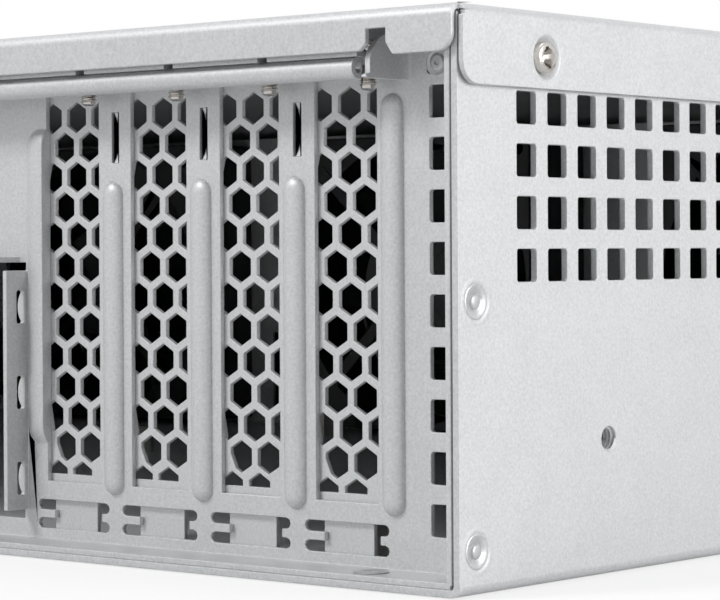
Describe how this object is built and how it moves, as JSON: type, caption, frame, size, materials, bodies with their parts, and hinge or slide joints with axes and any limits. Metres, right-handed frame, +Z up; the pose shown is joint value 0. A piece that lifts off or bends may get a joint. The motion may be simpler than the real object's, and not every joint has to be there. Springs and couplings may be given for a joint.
{
  "type": "rackmount server case",
  "caption": "Rackmount server case of folded steel with drive trays at the front, a fan wall inside, and perforated card slot covers, vents and bays at the rear.",
  "frame": {"origin": "middle of the underside of the whole case, with the ears and handles counted in its width and depth", "axes": "+Z up, +Y towards the rear panel, -Y towards the drive trays and handles, +X to the right seen from the front"},
  "size_m": [0.4826, 0.535, 0.088],
  "materials": {
    "galvanised_steel": "bare hot-dip galvanised sheet, fine grey grain",
    "nickel_plate": "nickel-plated screws",
    "black_paint": "fine-textured black powder coat",
    "aluminium_bar": "brushed and clear-anodised bar",
    "runner_plastic": "moulded grey nylon",
    "circuit_board": "green solder mask",
    "black_plastic": "moulded black plastic, fine texture",
    "fan_plastic": "moulded black plastic, satin",
    "lever_plastic": "moulded dark grey plastic",
    "clear_lens": "clear moulded light pipe"
  },
  "bodies": {
    "root": {"chassis_pan": "galvanised_steel", "rear_panel": "galvanised_steel", "front_frame": "black_paint", "cage_dividers": "galvanised_steel", "cage_top": "galvanised_steel", "tray_runners": "runner_plastic", "backplane": "circuit_board", "backplane_connectors": "black_plastic", "rack_ear_left": "black_paint", "rack_ear_right": "black_paint", "handle_left": "aluminium_bar", "handle_right": "aluminium_bar", "slot_cover_1": "galvanised_steel", "slot_cover_2": "galvanised_steel", "slot_cover_3": "galvanised_steel", "slot_cover_4": "galvanised_steel", "slot_screws": "nickel_plate", "panel_rivets": "galvanised_steel", "fan_wall": "galvanised_steel", "fan_frame_1": "fan_plastic", "fan_frame_2": "fan_plastic", "fan_frame_3": "fan_plastic", "fan_screws": "nickel_plate", "standoffs": "nickel_plate", "psu_bracket": "galvanised_steel", "indicator_lenses": "clear_lens", "control_board": "circuit_board", "usb_ports": "nickel_plate", "optical_bay_blank": "black_plastic", "ear_screws": "nickel_plate", "handle_screws": "nickel_plate"},
    "lid": {"lid": "galvanised_steel", "lid_screws": "nickel_plate"},
    "power_button": {"power_button": "black_plastic"},
    "reset_button": {"reset_button": "black_plastic"},
    "tray_1": {"drive_tray_1": "black_plastic"},
    "lever_1": {"tray_lever_1": "lever_plastic"},
    "tray_2": {"drive_tray_2": "black_plastic"},
    "lever_2": {"tray_lever_2": "lever_plastic"},
    "tray_3": {"drive_tray_3": "black_plastic"},
    "lever_3": {"tray_lever_3": "lever_plastic"},
    "tray_4": {"drive_tray_4": "black_plastic"},
    "lever_4": {"tray_lever_4": "lever_plastic"},
    "tray_5": {"drive_tray_5": "black_plastic"},
    "lever_5": {"tray_lever_5": "lever_plastic"},
    "tray_6": {"drive_tray_6": "black_plastic"},
    "lever_6": {"tray_lever_6": "lever_plastic"},
    "tray_7": {"drive_tray_7": "black_plastic"},
    "lever_7": {"tray_lever_7": "lever_plastic"},
    "tray_8": {"drive_tray_8": "black_plastic"},
    "lever_8": {"tray_lever_8": "lever_plastic"},
    "fan_1": {"fan_rotor_1": "fan_plastic"},
    "fan_2": {"fan_rotor_2": "fan_plastic"},
    "fan_3": {"fan_rotor_3": "fan_plastic"}
  },
  "joints": [
    {"name": "lid_lift", "type": "slide", "parent": "root", "child": "lid", "axis": [0, 0, 1], "range_m": [0, 0.1]},
    {"name": "tray_slide_1", "type": "slide", "parent": "root", "child": "tray_1", "axis": [0, -1, 0], "range_m": [0, 0.15]},
    {"name": "lever_swing_1", "type": "hinge", "parent": "tray_1", "child": "lever_1", "pos_m": [-0.20225, -0.2291, 0.0165], "axis": [0, 0, -1], "range_deg": [0, 60]},
    {"name": "tray_slide_2", "type": "slide", "parent": "root", "child": "tray_2", "axis": [0, -1, 0], "range_m": [0, 0.15]},
    {"name": "lever_swing_2", "type": "hinge", "parent": "tray_2", "child": "lever_2", "pos_m": [-0.09675, -0.2291, 0.0165], "axis": [0, 0, -1], "range_deg": [0, 60]},
    {"name": "tray_slide_3", "type": "slide", "parent": "root", "child": "tray_3", "axis": [0, -1, 0], "range_m": [0, 0.15]},
    {"name": "lever_swing_3", "type": "hinge", "parent": "tray_3", "child": "lever_3", "pos_m": [0.00875, -0.2291, 0.0165], "axis": [0, 0, -1], "range_deg": [0, 60]},
    {"name": "tray_slide_4", "type": "slide", "parent": "root", "child": "tray_4", "axis": [0, -1, 0], "range_m": [0, 0.15]},
    {"name": "lever_swing_4", "type": "hinge", "parent": "tray_4", "child": "lever_4", "pos_m": [0.11425, -0.2291, 0.0165], "axis": [0, 0, -1], "range_deg": [0, 60]},
    {"name": "tray_slide_5", "type": "slide", "parent": "root", "child": "tray_5", "axis": [0, -1, 0], "range_m": [0, 0.15]},
    {"name": "lever_swing_5", "type": "hinge", "parent": "tray_5", "child": "lever_5", "pos_m": [-0.20225, -0.2291, 0.0439], "axis": [0, 0, -1], "range_deg": [0, 60]},
    {"name": "tray_slide_6", "type": "slide", "parent": "root", "child": "tray_6", "axis": [0, -1, 0], "range_m": [0, 0.15]},
    {"name": "lever_swing_6", "type": "hinge", "parent": "tray_6", "child": "lever_6", "pos_m": [-0.09675, -0.2291, 0.0439], "axis": [0, 0, -1], "range_deg": [0, 60]},
    {"name": "tray_slide_7", "type": "slide", "parent": "root", "child": "tray_7", "axis": [0, -1, 0], "range_m": [0, 0.15]},
    {"name": "lever_swing_7", "type": "hinge", "parent": "tray_7", "child": "lever_7", "pos_m": [0.00875, -0.2291, 0.0439], "axis": [0, 0, -1], "range_deg": [0, 60]},
    {"name": "tray_slide_8", "type": "slide", "parent": "root", "child": "tray_8", "axis": [0, -1, 0], "range_m": [0, 0.15]},
    {"name": "lever_swing_8", "type": "hinge", "parent": "tray_8", "child": "lever_8", "pos_m": [0.11425, -0.2291, 0.0439], "axis": [0, 0, -1], "range_deg": [0, 60]},
    {"name": "fan_spin_1", "type": "hinge", "parent": "root", "child": "fan_1", "pos_m": [-0.12, -0.0055, 0.043], "axis": [0, 1, 0], "continuous": true},
    {"name": "fan_spin_2", "type": "hinge", "parent": "root", "child": "fan_2", "pos_m": [0, -0.0055, 0.043], "axis": [0, 1, 0], "continuous": true},
    {"name": "fan_spin_3", "type": "hinge", "parent": "root", "child": "fan_3", "pos_m": [0.12, -0.0055, 0.043], "axis": [0, 1, 0], "continuous": true},
    {"name": "power_press", "type": "slide", "parent": "root", "child": "power_button", "axis": [0, 1, 0], "range_m": [0, 0.0015], "stiffness_N_per_m": 300, "springref_m": -0.002},
    {"name": "reset_press", "type": "slide", "parent": "root", "child": "reset_button", "axis": [0, 1, 0], "range_m": [0, 0.0015], "stiffness_N_per_m": 300, "springref_m": -0.002}
  ]
}
